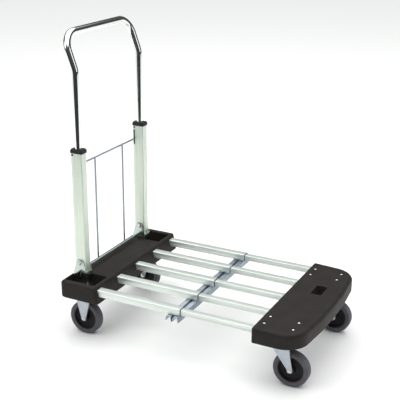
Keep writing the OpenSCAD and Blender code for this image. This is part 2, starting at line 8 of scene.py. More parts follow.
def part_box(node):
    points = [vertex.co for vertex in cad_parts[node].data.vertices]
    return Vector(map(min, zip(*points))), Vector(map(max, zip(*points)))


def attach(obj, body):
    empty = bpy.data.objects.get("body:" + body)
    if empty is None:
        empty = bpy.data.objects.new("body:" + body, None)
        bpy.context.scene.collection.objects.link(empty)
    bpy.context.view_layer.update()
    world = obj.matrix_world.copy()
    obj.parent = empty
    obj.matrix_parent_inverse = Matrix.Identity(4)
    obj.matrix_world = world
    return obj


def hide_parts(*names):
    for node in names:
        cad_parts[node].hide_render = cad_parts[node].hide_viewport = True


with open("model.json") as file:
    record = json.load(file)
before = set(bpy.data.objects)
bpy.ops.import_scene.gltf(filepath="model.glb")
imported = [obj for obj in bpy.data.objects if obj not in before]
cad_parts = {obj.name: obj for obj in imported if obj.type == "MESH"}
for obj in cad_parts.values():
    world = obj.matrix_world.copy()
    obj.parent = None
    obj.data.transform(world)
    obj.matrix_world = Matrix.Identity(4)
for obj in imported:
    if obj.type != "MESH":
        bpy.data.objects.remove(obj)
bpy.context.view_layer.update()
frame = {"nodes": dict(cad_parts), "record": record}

MM = 0.001
PI = math.pi

# ---------------------------------------------------------------- camera

CAM_AZ, CAM_EL, CAM_ROLL = math.radians(27.023), math.radians(19.846), math.radians(0.286)
CAM_TARGET = Vector((-0.05136, 0.0, 0.39610))
CAM_DIST = 2.5565


def make_camera():
    back = Vector((math.sin(CAM_AZ) * math.cos(CAM_EL), -math.cos(CAM_AZ) * math.cos(CAM_EL), math.sin(CAM_EL)))
    right = Vector((math.cos(CAM_AZ), math.sin(CAM_AZ), 0))
    up = back.cross(right)
    right_r = right * math.cos(CAM_ROLL) + up * math.sin(CAM_ROLL)
    up_r = up * math.cos(CAM_ROLL) - right * math.sin(CAM_ROLL)
    data = bpy.data.cameras.new("camera")
    data.sensor_width = 36
    data.lens = 81.457
    data.shift_x = 0.0107
    data.shift_y = 0.0040
    data.clip_end = 60
    cam = bpy.data.objects.new("camera", data)
    place = Matrix((right_r, up_r, back)).transposed().to_4x4()
    place.translation = CAM_TARGET + back * CAM_DIST
    cam.matrix_world = place
    bpy.context.scene.collection.objects.link(cam)
    bpy.context.scene.camera = cam


make_camera()

# ---------------------------------------------------------------- light and floor


def ramp(tree, fac, stops):
    n = tree.nodes.new("ShaderNodeValToRGB")
    els = n.color_ramp.elements
    while len(els) < len(stops):
        els.new(0.5)
    for e, (pos, col) in zip(els, stops):
        e.position = pos
        e.color = (*col, 1)
    tree.links.new(fac, n.inputs[0])
    return n.outputs[0]


def make_world():
    """What the metal shows: dark below and round the horizon, bright overhead. The camera sees plain white."""
    world = bpy.data.worlds.new("studio")
    bpy.context.scene.world = world
    world.use_nodes = True
    t = world.node_tree
    t.nodes.clear()
    out = t.nodes.new("ShaderNodeOutputWorld")
    seen = t.nodes.new("ShaderNodeBackground")
    seen.inputs["Color"].default_value = (1, 1, 1, 1)
    seen.inputs["Strength"].default_value = 1.0
    room = t.nodes.new("ShaderNodeBackground")
    room.inputs["Strength"].default_value = 1.0
    coord = t.nodes.new("ShaderNodeTexCoord")
    split = t.nodes.new("ShaderNodeSeparateXYZ")
    t.links.new(coord.outputs["Generated"], split.inputs[0])
    height = t.nodes.new("ShaderNodeMath")
    height.operation = "MULTIPLY_ADD"
    t.links.new(split.outputs["Z"], height.inputs[0])
    height.inputs[1].default_value = height.inputs[2].default_value = 0.5
    col = ramp(t, height.outputs[0], [(0.0, (0.03, 0.03, 0.035)), (0.5, (0.05, 0.05, 0.055)),
                                      (0.77, (0.10, 0.10, 0.11)), (0.83, (1.30, 1.32, 1.30)),
                                      (1.0, (1.40, 1.42, 1.40))])
    t.links.new(col, room.inputs["Color"])
    path = t.nodes.new("ShaderNodeLightPath")
    mix = t.nodes.new("ShaderNodeMixShader")
    t.links.new(path.outputs["Is Camera Ray"], mix.inputs[0])
    t.links.new(room.outputs[0], mix.inputs[1])
    t.links.new(seen.outputs[0], mix.inputs[2])
    t.links.new(mix.outputs[0], out.inputs["Surface"])


def area(name, place, aim, size, watts, colour=(1, 1, 1)):
    data = bpy.data.lights.new(name, "AREA")
    data.shape = "RECTANGLE"
    data.size, data.size_y = size
    data.energy = watts
    data.color = colour
    light = bpy.data.objects.new(name, data)
    light.location = place
    light.rotation_euler = (Vector(aim) - Vector(place)).to_track_quat("-Z", "Y").to_euler()
    bpy.context.scene.collection.objects.link(light)


bpy.context.scene.view_settings.view_transform = "Standard"
make_world()
area("overhead", (0.0, 0.8, 3.4), (0, 0.8, 0), (5.0, 5.0), 84, (1.0, 1.0, 0.985))
area("key", (-2.6, -2.6, 2.1), (0, 0, 0.4), (1.8, 1.8), 26, (1.0, 1.0, 0.98))
area("side", (3.0, 0.6, 1.7), (0, 0, 0.3), (1.6, 1.6), 12, (0.96, 0.98, 1.0))


def make_floor():
    """A pale sweep that ends in front of the cart, where the chrome shows the dark room beyond it."""
    s, c = math.sin(CAM_AZ), math.cos(CAM_AZ)
    near = Vector((s, -c, 0))
    side = Vector((c, s, 0))
    centre = Vector((CAM_TARGET.x, CAM_TARGET.y, 0))
    corners = [centre + near * a + side * b for a, b in ((1.24, -9), (1.24, 9), (-14, 9), (-14, -9))]
    mesh = bpy.data.meshes.new("floor")
    mesh.from_pydata([tuple(v) for v in corners], [], [(0, 1, 2, 3)])
    floor = bpy.data.objects.new("floor", mesh)
    bpy.context.scene.collection.objects.link(floor)
    mat = bpy.data.materials.new("floor")
    mat.use_nodes = True
    b = mat.node_tree.nodes["Principled BSDF"]
    b.inputs["Base Color"].default_value = (0.93, 0.93, 0.93, 1)
    b.inputs["Roughness"].default_value = 0.9
    b.inputs["Specular IOR Level"].default_value = 0.1
    mesh.materials.append(mat)


make_floor()

# ---------------------------------------------------------------- materials


def new_material(name, base, metallic=0.0, rough=0.5, **sockets):
    mat = bpy.data.materials.new(name)
    mat.use_nodes = True
    b = mat.node_tree.nodes["Principled BSDF"]
    b.inputs["Base Color"].default_value = (*base, 1)
    b.inputs["Metallic"].default_value = metallic
    b.inputs["Roughness"].default_value = rough
    for k, v in sockets.items():
        b.inputs[k.replace("_", " ")].default_value = v
    return mat


def noise(tree, scale, detail=3.0, stretch=(1, 1, 1), rough=0.5):
    coord = tree.nodes.new("ShaderNodeTexCoord")
    mapping = tree.nodes.new("ShaderNodeMapping")
    mapping.inputs["Scale"].default_value = stretch
    tree.links.new(coord.outputs["Object"], mapping.inputs["Vector"])
    n = tree.nodes.new("ShaderNodeTexNoise")
    n.inputs["Scale"].default_value = scale
    n.inputs["Detail"].default_value = detail
    n.inputs["Roughness"].default_value = rough
    tree.links.new(mapping.outputs[0], n.inputs["Vector"])
    return n.outputs["Fac"]


def add_bump(mat, height, strength, distance):
    t = mat.node_tree
    bump = t.nodes.new("ShaderNodeBump")
    bump.inputs["Strength"].default_value = strength
    bump.inputs["Distance"].default_value = distance
    t.links.new(height, bump.inputs["Height"])
    t.links.new(bump.outputs[0], t.nodes["Principled BSDF"].inputs["Normal"])


def vary(mat, socket, fac, low, high, at=(0.3, 0.7)):
    t = mat.node_tree
    if isinstance(low, tuple):
        out = ramp(t, fac, [(at[0], low), (at[1], high)])
    else:
        n = t.nodes.new("ShaderNodeMapRange")
        n.inputs["From Min"].default_value, n.inputs["From Max"].default_value = at
        n.inputs["To Min"].default_value, n.inputs["To Max"].default_value = low, high
        t.links.new(fac, n.inputs["Value"])
        out = n.outputs[0]
    t.links.new(out, t.nodes["Principled BSDF"].inputs[socket])


def brushed(name, base, stretch, rough):
    """Satin extruded aluminium, with die lines along the long side."""
    mat = new_material(name, base, 0.85, rough)
    t = mat.node_tree
    lines = noise(t, 1400, 2, stretch)
    broad = noise(t, 14, 2)
    vary(mat, "Base Color", broad, tuple(c * 0.965 for c in base), tuple(min(1, c * 1.02) for c in base))
    vary(mat, "Roughness", lines, rough - 0.06, rough + 0.07)
    add_bump(mat, lines, 0.12, 0.00008)
    return mat


ALU_X = brushed("aluminium_rail", (0.73, 0.775, 0.745), (0.008, 1, 1), 0.42)
ALU_Z = brushed("aluminium_post", (0.76, 0.835, 0.74), (1, 1, 0.008), 0.42)

CHROME = new_material("chrome", (0.78, 0.80, 0.775), 1.0, 0.045)
vary(CHROME, "Roughness", noise(CHROME.node_tree, 45, 3), 0.03, 0.07)

PLASTIC = new_material("housing_plastic", (0.0185, 0.0155, 0.0135), 0.0, 0.56, Specular_IOR_Level=0.2)
_t = PLASTIC.node_tree
_grain = noise(_t, 950, 3, rough=0.6)
vary(PLASTIC, "Base Color", noise(_t, 22, 4), (0.0155, 0.0128, 0.0112), (0.0215, 0.018, 0.0158))
vary(PLASTIC, "Roughness", _grain, 0.48, 0.66)
add_bump(PLASTIC, _grain, 0.42, 0.00035)

BLACK = new_material("black_plastic", (0.018, 0.017, 0.017), 0.0, 0.45, Specular_IOR_Level=0.35)
_t = BLACK.node_tree
_grain = noise(_t, 700, 2)
vary(BLACK, "Roughness", noise(_t, 60, 3), 0.38, 0.55)
add_bump(BLACK, _grain, 0.18, 0.0002)

HUB = new_material("hub_plastic", (0.012, 0.010, 0.0105), 0.0, 0.5, Specular_IOR_Level=0.22)
_t = HUB.node_tree
vary(HUB, "Roughness", noise(_t, 90, 3), 0.42, 0.62)
add_bump(HUB, noise(_t, 500, 2), 0.2, 0.0002)

RUBBER = new_material("rubber", (0.095, 0.090, 0.105), 0.0, 0.78, Specular_IOR_Level=0.35)
_t = RUBBER.node_tree
vary(RUBBER, "Base Color", noise(_t, 60, 4, rough=0.65), (0.082, 0.078, 0.091), (0.112, 0.107, 0.122))
vary(RUBBER, "Roughness", noise(_t, 180, 3), 0.68, 0.88)
add_bump(RUBBER, noise(_t, 800, 3), 0.3, 0.0003)


def zinc(name, base, rough, cell, bump_h):
    mat = new_material(name, base, 1.0, rough)
    t = mat.node_tree
    coord = t.nodes.new("ShaderNodeTexCoord")
    v = t.nodes.new("ShaderNodeTexVoronoi")
    v.inputs["Scale"].default_value = cell
    t.links.new(coord.outputs["Object"], v.inputs["Vector"])
    split = t.nodes.new("ShaderNodeSeparateColor")
    t.links.new(v.outputs["Color"], split.inputs[0])
    vary(mat, "Roughness", split.outputs[0], rough - 0.07, rough + 0.08, (0, 1))
    vary(mat, "Base Color", split.outputs[1], tuple(c * 0.93 for c in base), tuple(min(1, c * 1.04) for c in base),
         (0, 1))
    add_bump(mat, noise(t, 260, 3), 0.15, bump_h)
    return mat


ZINC = zinc("zinc_steel", (0.42, 0.455, 0.50), 0.36, 170, 0.0001)
ZINC_SHEET = zinc("zinc_sheet", (0.36, 0.41, 0.46), 0.46, 120, 0.0001)
BRACKET = zinc("bracket_steel", (0.50, 0.57, 0.53), 0.2, 170, 0.0001)
BRIGHT = new_material("bright_steel", (0.62, 0.62, 0.62), 1.0, 0.24)
vary(BRIGHT, "Roughness", noise(BRIGHT.node_tree, 300, 3), 0.18, 0.34)
ZINC_ROD = new_material("zinc_rod", (0.70, 0.79, 0.80), 1.0, 0.2)
vary(ZINC_ROD, "Roughness", noise(ZINC_ROD.node_tree, 200, 3), 0.14, 0.26)


def material_for(node):
    if node.startswith(("outer_rail", "inner_rail")):
        return ALU_X
    if node in ("post_left", "post_right"):
        return ALU_Z
    if node.startswith("hub"):
        return HUB
    if node.startswith("tyre"):
        return RUBBER
    by_slot = {"housing_plastic": PLASTIC, "black_plastic": BLACK, "chrome": CHROME, "zinc_steel": ZINC,
               "bright_steel": BRIGHT}
    slots = {s["node"]: s["material_slot"] for s in frame["record"]["subparts"]}
    return by_slot[slots[node]]

# ---------------------------------------------------------------- shape helpers (millimetres)


def rounded(points, radii, step=12):
    """A closed outline with each corner turned into an arc; step is degrees per segment."""
    out = []
    n = len(points)
    for i, p in enumerate(points):
        p = Vector(p)
        r = radii[i] if isinstance(radii, (list, tuple)) else radii
        a, b = Vector(points[i - 1]) - p, Vector(points[(i + 1) % n]) - p
        if r <= 0:
            out.append(p)
            continue
        half = a.angle(b) / 2
        back = min(r / math.tan(half), a.length * 0.49, b.length * 0.49)
        r = back * math.tan(half)
        start, end = p + a.normalized() * back, p + b.normalized() * back
        centre = p + (a.normalized() + b.normalized()).normalized() * (r / math.sin(half))
        v0, v1 = start - centre, end - centre
        turn = math.atan2(v0.x * v1.y - v0.y * v1.x, v0.dot(v1))
        count = max(2, math.ceil(abs(math.degrees(turn)) / step - 0.01))
        for k in range(count + 1):
            t = turn * k / count
            out.append(centre + Vector((v0.x * math.cos(t) - v0.y * math.sin(t),
                                        v0.x * math.sin(t) + v0.y * math.cos(t))))
    return out


def rect(w, h, r, cx=0, cy=0, step=12):
    x, y = w / 2, h / 2
    return rounded([(cx - x, cy - y), (cx + x, cy - y), (cx + x, cy + y), (cx - x, cy + y)], r, step)


def circle(r, cx=0, cy=0, n=48):
    return [Vector((cx + r * math.cos(2 * PI * k / n), cy + r * math.sin(2 * PI * k / n))) for k in range(n)]


def dense(points, longest):
    """The same closed outline, its long edges split."""
    out = []
    for i, p in enumerate(points):
        q = points[(i + 1) % len(points)]
        k = max(1, math.ceil((q - p).length / longest))
        out += [p.lerp(q, j / k) for j in range(k)]
    return out


def inset(points, d):
    """The outline moved inwards; d is a distance, or one for each point. Points run anticlockwise."""
    n = len(points)
    out = []
    for i, p in enumerate(points):
        a = (p - points[i - 1]).normalized()
        b = (points[(i + 1) % n] - p).normalized()
        na, nb = Vector((-a.y, a.x)), Vector((-b.y, b.x))
        m = (na + nb).normalized()
        k = d[i] if isinstance(d, (list, tuple)) else d
        out.append(p + m * (k / max(0.5, m.dot(na))))
    return out


def anticlockwise(points):
    s = sum(points[i - 1].x * p.y - p.x * points[i - 1].y for i, p in enumerate(points))
    return points if s > 0 else points[::-1]


def on_x(x):
    return lambda p: Vector((x, p[0], p[1]))


def on_y(y):
    return lambda p: Vector((p[0], y, p[1]))


def on_z(z):
    return lambda p: Vector((p[0], p[1], z))


def loft(bm, loops, ring=False):
    """Joins equal loops of points; the first and last are closed, or joined to each other for a ring."""
    rows = [[bm.verts.new(Vector(p) * MM) for p in loop] for loop in loops]
    n = len(rows[0])
    pairs = list(zip(rows, rows[1:])) + ([(rows[-1], rows[0])] if ring else [])
    for a, b in pairs:
        for i in range(n):
            j = (i + 1) % n
            bm.faces.new((a[i], a[j], b[j], b[i]))
    if not ring:
        bm.faces.new(rows[0][::-1])
        bm.faces.new(rows[-1])


def plate(bm, outline, place, a, b, edge=0.4):
    """A flat plate with eased edges, from a to b along the third direction."""
    outline = anticlockwise([Vector(p) for p in outline])
    e = edge * (1 if b > a else -1)
    levels = [(a, edge), (a + e * 0.3, edge * 0.3), (a + e, 0), (b - e, 0), (b - e * 0.3, edge * 0.3), (b, edge)]
    loft(bm, [[place(h)(p) for p in inset(outline, d)] for h, d in levels])


def hollow_bar(bm, outer, inner, place, a, b):
    """A hollow section between two ends."""
    outer, inner = [Vector(p) for p in outer], [Vector(p) for p in inner]
    for line, ease in ((outer, 0.35), (inner, -0.25)):
        line = anticlockwise(line)
        rows = []
        for h, d in ((a, ease), (a + 0.35, 0), (b - 0.35, 0), (b, ease)):
            rows.append([bm.verts.new(place(h)(p) * MM) for p in inset(line, d)])
        for r0, r1 in zip(rows, rows[1:]):
            for i in range(len(line)):
                j = (i + 1) % len(line)
                bm.faces.new((r0[i], r0[j], r1[j], r1[i]))
        if ease > 0:
            ends = [rows[0], rows[-1]]
        else:
            for loop, other in zip(ends, (rows[0], rows[-1])):
                edges = []
                for ring in (loop, other):
                    edges += [bm.edges.get((ring[i - 1], ring[i])) for i in range(len(ring))]
                bmesh.ops.triangle_fill(bm, edges=edges, use_beauty=True)


def revolve(bm, profile, centre, axis, n=64):
    """Turns a closed outline of (radius, height) about an axis through centre; radius 0 points close it."""
    axis = Vector(axis).normalized()
    u = axis.orthogonal().normalized()
    v = axis.cross(u)
    centre = Vector(centre)
    rows = []
    for r, h in profile:
        if r < 1e-6:
            rows.append([bm.verts.new((centre + axis * h) * MM)])
        else:
            rows.append([bm.verts.new((centre + axis * h + (u * math.cos(t) + v * math.sin(t)) * r) * MM)
                         for t in (2 * PI * k / n for k in range(n))])
    closed = profile[0][0] > 1e-6 and profile[-1][0] > 1e-6
    pairs = list(zip(rows, rows[1:])) + ([(rows[-1], rows[0])] if closed else [])
    for a, b in pairs:
        for i in range(n):
            j = (i + 1) % n
            if len(a) == 1 and len(b) == 1:
                break
            if len(a) == 1:
                bm.faces.new((a[0], b[i], b[j]))
            elif len(b) == 1:
                bm.faces.new((a[j], a[i], b[0]))
            else:
                bm.faces.new((a[i], b[i], b[j], a[j]))


def sweep(bm, path, r, n=32):
    """A round bar along a path."""
    path = [Vector(p) for p in path]
    t = (path[1] - path[0]).normalized()
    u = t.orthogonal().normalized()
    loops = []
    for i, p in enumerate(path):
        a = (p - path[i - 1]).normalized() if i else t
        b = (path[i + 1] - p).normalized() if i + 1 < len(path) else a
        new_t = (a + b).normalized()
        u = (u - new_t * u.dot(new_t)).normalized()
        v = new_t.cross(u)
        loops.append([p + (u * math.cos(s) + v * math.sin(s)) * r for s in (2 * PI * k / n for k in range(n))])
    ends = []
    for k, sign in ((0, -1), (-1, 1)):
        d = (path[0] - path[1]).normalized() if k == 0 else (path[-1] - path[-2]).normalized()
        c = path[k]
        ends.append([[c + d * (r * 0.12) + (q - c) * 0.88 for q in loops[k]]])
    loft(bm, ends[0] + loops + ends[1])


def arc(centre, start, axis, angle, n):
    """Points from start, turned about an axis through centre."""
    centre, start = Vector(centre), Vector(start)
    return [centre + Matrix.Rotation(angle * k / n, 3, Vector(axis)) @ (start - centre) for k in range(n + 1)]


def dome_profile(r, h, recess=0.0, deep=0.0, n=6):
    """Round head: a low dome over its rim, with a small recess in the middle."""
    out = [(0, -0.2), (r, -0.2), (r, 0.25 * h)]
    lo = recess / r if recess else 0
    for k in range(1, n + 1):
        t = 1 - (1 - lo) * k / n
        out.append((r * t, h * (0.25 + 0.75 * math.sqrt(max(0.0, 1 - t * t)))))
    if recess:
        top = out[-1][1]
        out += [(recess * 0.8, top - deep * 0.7), (recess * 0.35, top - deep), (0, top - deep)]
    return out


def head(bm, place, axis, r, h, recess=0.0, deep=0.0, n=32):
    revolve(bm, dome_profile(r, h, recess, deep), place, axis, n)


def hexagon(bm, place, axis, r, h):
    """A nut or bolt head with eased corners, from its seat along axis."""
    axis = Vector(axis).normalized()
    u = axis.orthogonal().normalized()
    v = axis.cross(u)
    c = Vector(place)

    def ring(scale, z):
        corner = r * scale
        pts = rounded([(corner * math.cos(PI * k / 3), corner * math.sin(PI * k / 3)) for k in range(6)], r * 0.12, 20)
        return [c + axis * z + u * p.x + v * p.y for p in pts]

    loft(bm, [ring(0.96, 0), ring(1, 0.2 * h), ring(1, 0.8 * h), ring(0.9, h)])


def as_object(name, build):
    """A mesh object from a function that fills a bmesh."""
    bm = bmesh.new()
    build(bm)
    bmesh.ops.remove_doubles(bm, verts=bm.verts, dist=1e-7)
    bmesh.ops.recalc_face_normals(bm, faces=bm.faces)
    mesh = bpy.data.meshes.new(name)
    bm.to_mesh(mesh)
    bm.free()
    obj = bpy.data.objects.new(name, mesh)
    bpy.context.scene.collection.objects.link(obj)
    return obj


def boolean(obj, build, mode="DIFFERENCE"):
    """Cuts away, or adds, what a function builds."""
    other = as_object("cutter", build)
    mod = obj.modifiers.new("cut", "BOOLEAN")
    mod.operation = mode
    mod.solver = "EXACT"
    mod.use_self = True
    mod.object = other
    graph = bpy.context.evaluated_depsgraph_get()
    mesh = bpy.data.meshes.new_from_object(obj.evaluated_get(graph))
    obj.modifiers.clear()
    old = obj.data
    obj.data = mesh
    mesh.name = obj.name
    bpy.data.meshes.remove(old)
    bpy.data.objects.remove(other)


def finish_piece(obj, body, nodes, mat, sharp=32):
    """Smooth shading with crisp edges, a material, and a body to ride on."""
    mesh = obj.data
    mesh.materials.clear()
    mesh.materials.append(mat)
    mesh.polygons.foreach_set("material_index", [0] * len(mesh.polygons))
    mesh.shade_smooth()
    mesh.set_sharp_from_angle(angle=math.radians(sharp))
    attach(obj, body)
    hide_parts(*nodes)
    return obj


def piece(name, body, nodes, mat, build, sharp=32):
    return finish_piece(as_object(name, build), body, nodes, mat, sharp)


def corners(node):
    lo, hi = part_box(node)
    return [v / MM for v in lo], [v / MM for v in hi]


# ---------------------------------------------------------------- places, from the frame

SIDES = (("left", 1), ("right", -1))
(post_lo, post_hi) = corners("post_left")
POST_X = (post_lo[0] + post_hi[0]) / 2
POST_Y = (post_lo[1] + post_hi[1]) / 2
POST_D = post_hi[0] - post_lo[0]
POST_W = post_hi[1] - post_lo[1]
(tyre_lo, tyre_hi) = corners("tyre_rear_left")
WHEEL_R = (tyre_hi[2] - tyre_lo[2]) / 2
WHEEL_Y = (tyre_hi[1] + tyre_lo[1]) / 2
TYRE_HALF = (tyre_hi[1] - tyre_lo[1]) / 2
AXLE_X = {}
for _end in ("rear", "front"):
    (lo, hi) = corners(f"tyre_{_end}_left")
    AXLE_X[_end] = (lo[0] + hi[0]) / 2
(plate_lo, plate_hi) = corners("front_caster_plate_left")
SWIVEL_X = (plate_lo[0] + plate_hi[0]) / 2
(wire_lo, wire_hi) = corners("release_frame")
HUB_R = 36
FORK_IN, SHEET = 16.5, 2.5          # inner faces of a fork's legs from the wheel's middle; sheet steel
PLATE_L, PLATE_W, PLATE_T = 100, 60, 3
CASTER_DX, CASTER_DY = 40, 21       # bolts of a caster plate, from its middle
REAR_PLATE_TOP = corners("rear_fork_left")[1][2]
REAR_PLATE_Z = REAR_PLATE_TOP - PLATE_T
CROWN_Z = 115                       # underside of a swivel fork's crown
AXLE_BOLT_R = 4.0
PIVOT_Z = 219                       # axis on which the posts fold
FLOOR_Z = 148                       # floor of the rear housing's pockets
KNEE_Z = PIVOT_Z - 28
WEB_Z = PIVOT_Z - 24
SLOT_LOW, SLOT_HIGH = 486, 534      # slot in each post for the release frame
WIRE_TOP_Z, WIRE_Y = 503, 74        # height of the release frame's cross wire, and its two uprights

# ---------------------------------------------------------------- rails


def rail_outline(w, h, r, groove):
    """Section of a rail: round edges, a groove along each side and fine lines beside it."""
    x, z = w / 2, h / 2
    d = 0.35 if groove else 0.25
    g = 2.0 if groove else 1.2
    right = [(x, -g - 0.5), (x - d, -g), (x - d, g), (x, g + 0.5)]
    body = [Vector(p) for p in right]
    corner = rounded([(x, -z), (x, z), (-x, z), (-x, -z)], r, 15)
    half = len(corner) // 4
    low_right, up_right, up_left, low_left = (corner[i * half:(i + 1) * half] for i in range(4))
    left = [Vector((-p.x, -p.y)) for p in body]
    return low_right + body + up_right + up_left + left + low_left


RAIL_YS = [sum(c[1] for c in corners(f"outer_rail_{i}")) / 2 for i in range(1, 6)]

for i in range(1, 6):
    for kind, r, wall, groove, body in (("outer", 2.5, 1.8, True, "base"), ("inner", 1.6, 1.6, False, "front_deck")):
        node = f"{kind}_rail_{i}"
        (lo, hi) = corners(node)
        w, h = hi[1] - lo[1], hi[2] - lo[2]
        cy, cz = (lo[1] + hi[1]) / 2, (lo[2] + hi[2]) / 2
        line = [Vector((p.x + cy, p.y + cz)) for p in rail_outline(w, h, r, groove)]
        hole = rect(w - 2 * wall, h - 2 * wall, 0.6, cy, cz, 30)
        piece(f"{kind}_rail_section_{i}", body, [node], ALU_X,
              lambda bm, a=line, b=hole, x0=lo[0], x1=hi[0]: hollow_bar(bm, a, b, on_x, x0, x1))


def gap_shade_rings(bm):
    """A black ring round each sliding rail at the mouth of its outer rail. It is painted shade: it stands in for the
    shadowed gap between the outer rail's end and the sliding rail.
    """
    for i, cy in enumerate(RAIL_YS, 1):
        (lo, hi), (in_lo, in_hi) = corners(f"outer_rail_{i}"), corners(f"inner_rail_{i}")
        cz = (lo[2] + hi[2]) / 2
        ring = rect(hi[1] - lo[1] - 0.6, hi[2] - lo[2] - 0.6, 2.2, cy, cz, 15)
        hole = rect(in_hi[1] - in_lo[1] + 0.5, in_hi[2] - in_lo[2] + 0.5, 1.2, cy, cz, 15)
        hollow_bar(bm, ring, hole, on_x, hi[0] + 0.05, hi[0] + 1.2)


# black rings that paint the shadow in the gap at each outer rail's mouth
piece("rail_mouth_shade_rings", "base", [f"outer_rail_{i}" for i in range(1, 6)], BLACK, gap_shade_rings)

# ---------------------------------------------------------------- posts, caps, pins


def post_section():
    x, y = POST_D / 2, POST_W / 2
    out = []
    for side in range(4):
        long_side = side % 2 == 0
        across, away = (x, y) if long_side else (y, x)
        edge = [(-across + 3, -away)]
        for g in ((-5.5, 5.5) if long_side else (-4.0, 4.0)):
            edge += [(g - 0.9, -away), (g - 0.35, -away + 0.55), (g + 0.35, -away + 0.55), (g + 0.9, -away)]
        edge.append((across - 3, -away))
        for k in range(1, 6):
            t = PI / 2 * k / 6
            edge.append((across - 3 + 3 * math.sin(t), -away + 3 - 3 * math.cos(t)))
        c, s = ((1, 0), (0, 1), (-1, 0), (0, -1))[side]
        out += [Vector((p[0] * c - p[1] * s, p[0] * s + p[1] * c)) for p in edge]
    return out


for name, s in SIDES:
    (lo, hi) = corners(f"post_{name}")
    outer = [Vector((p.x + POST_X, p.y + s * POST_Y)) for p in post_section()]
    inner = rect(POST_D - 4, POST_W - 4, 0.8, POST_X, s * POST_Y, 30)
    post = as_object(f"post_section_{name}", lambda bm: hollow_bar(bm, outer, inner, on_z, lo[2], hi[2]))
    x0, x1, inner_y = wire_lo[0] - 0.3, wire_lo[0] + 5.9, s * (POST_Y - POST_W / 2)
    slot = rounded([(x0, SLOT_LOW), (x1, SLOT_LOW), (x1, SLOT_HIGH), (x0, SLOT_HIGH)], 2.4, 20)
    boolean(post, lambda bm: plate(bm, slot, on_y, inner_y - 5, inner_y + 5, 0.05))
    finish_piece(post, "posts", [f"post_{name}"], ALU_Z)

    (lo, hi) = corners(f"post_cap_{name}")

    def cap(bm, s=s, top=hi[2]):
        base = top - 12
        levels = [(base, 0.5), (base + 0.5, 0), (base + 7.6, 0), (base + 8.7, 0.5), (base + 9, 1.6), (base + 9.2, 2.2),
                  (base + 11.2, 2.3), (base + 11.8, 2.7), (top, 3.6)]
        line = rect(POST_D + 4, POST_W + 4, 4.5, POST_X, s * POST_Y, 10)
        rows = [[bm.verts.new(on_z(z)(p) * MM) for p in inset(line, d)] for z, d in levels]
        hole = [[bm.verts.new(on_z(z)(p) * MM) for p in circle(r, POST_X, s * POST_Y, 48)]
                for z, r in ((base, 10.35), (top - 0.8, 10.35), (top, 11.0))]
        for stack in (rows, hole):
            for a, b in zip(stack, stack[1:]):
                for i in range(len(a)):
                    j = (i + 1) % len(a)
                    bm.faces.new((a[i], a[j], b[j], b[i]))
        for a, b in ((rows[0], hole[0]), (rows[-1], hole[-1])):
            edges = [bm.edges.get((ring[i - 1], ring[i])) for ring in (a, b) for i in range(len(ring))]
            bmesh.ops.triangle_fill(bm, edges=edges, use_beauty=True)

    piece(f"cap_{name}", "posts", [f"post_cap_{name}"], BLACK, cap)


def cap_pins(bm):
    for _, s in SIDES:
        for k in (-1, 1):
            head(bm, (POST_X - 12.5, s * POST_Y + k * POST_W / 2, post_hi[2] - 5), (0, k, 0), 3.2, 1.0)


piece("cap_snap_pins", "posts", ["cap_pins"], BLACK, cap_pins)

# ---------------------------------------------------------------- handle tube and release frame

(tube_lo, tube_hi) = corners("handle_tube")
TUBE_R = 10
BAR_X, BAR_Z = tube_lo[0] + TUBE_R, tube_hi[2] - TUBE_R
BEND_Z, BEND_R, CORNER_R = 770, 60, 50


def tube_path():
    lean = math.atan((POST_X - BAR_X) / (BAR_Z - BEND_Z))
    tan_l = BEND_R * math.tan(lean / 2)
    half = []
    low = tube_lo[2]
    for k in range(5):
        half.append(Vector((POST_X, POST_Y, low + (BEND_Z - tan_l - 1 - low) * k / 4)))
    start = Vector((POST_X, POST_Y, BEND_Z - tan_l))
    half += arc((POST_X - BEND_R, POST_Y, start.z), start, (0, 1, 0), -lean, 12)
    along = Vector((-math.sin(lean), 0, math.cos(lean)))
    end = half[-1] + along * ((BAR_Z - BEND_Z) / math.cos(lean) - tan_l - CORNER_R)
    centre = end + Vector((0, -CORNER_R, 0))
    turn_axis = along.cross(Vector((0, -1, 0))).normalized()
    half += arc(centre, end, turn_axis, PI / 2, 26)
    mirror = [Vector((p.x, -p.y, p.z)) for p in reversed(half)]
    return half + mirror


piece("handle_bow", "handle", ["handle_tube"], CHROME, lambda bm: sweep(bm, tube_path(), TUBE_R, 64))

WIRE_R = 2.8
WIRE_X = wire_lo[0] + WIRE_R


def release(bm):
    z = WIRE_TOP_Z
    sweep(bm, [(WIRE_X, wire_lo[1] + (wire_hi[1] - wire_lo[1]) * k / 6, z) for k in range(7)], WIRE_R, 24)
    for s in (-1, 1):
        x = WIRE_X + 1.9 * WIRE_R
        sweep(bm, [(x, s * WIRE_Y, wire_lo[2] + 0.4 + (z + 1.6 - wire_lo[2]) * k / 5) for k in range(6)], WIRE_R, 24)
        for dy in (-1, 1):
            revolve(bm, [(0, -2.2), (1.2, -1.9), (1.9, -1.0), (2.1, 0), (1.9, 1.0), (1.2, 1.9), (0, 2.2)],
                    (WIRE_X + 0.95 * WIRE_R, s * WIRE_Y + dy * 1.6, z), (0, 0, 1), 12)


piece("release_wires", "release", ["release_frame"], ZINC, release)

# ---------------------------------------------------------------- wheels


def tyre_profile():
    h, r = TYRE_HALF, WHEEL_R
    side = [(HUB_R - 0.2, h - 3.0), (HUB_R + 0.4, h - 2.0), (HUB_R + 1.6, h - 1.2), (HUB_R + 3.4, h - 0.5),
            (HUB_R + 5.5, h)]
    for k in range(7):
        t = PI / 2 * k / 6
        side.append((r - 4.2 + 3.9 * math.sin(t), h - 4.2 + 4.2 * math.cos(t)))
    side += [(r - 0.12, 5.0), (r, 1.6)]
    bead = [(HUB_R - 0.4, -4), (HUB_R - 1.0, -3), (HUB_R - 1.0, 3), (HUB_R - 0.4, 4)]
    return side + [(a, -b) for a, b in reversed(side)] + bead


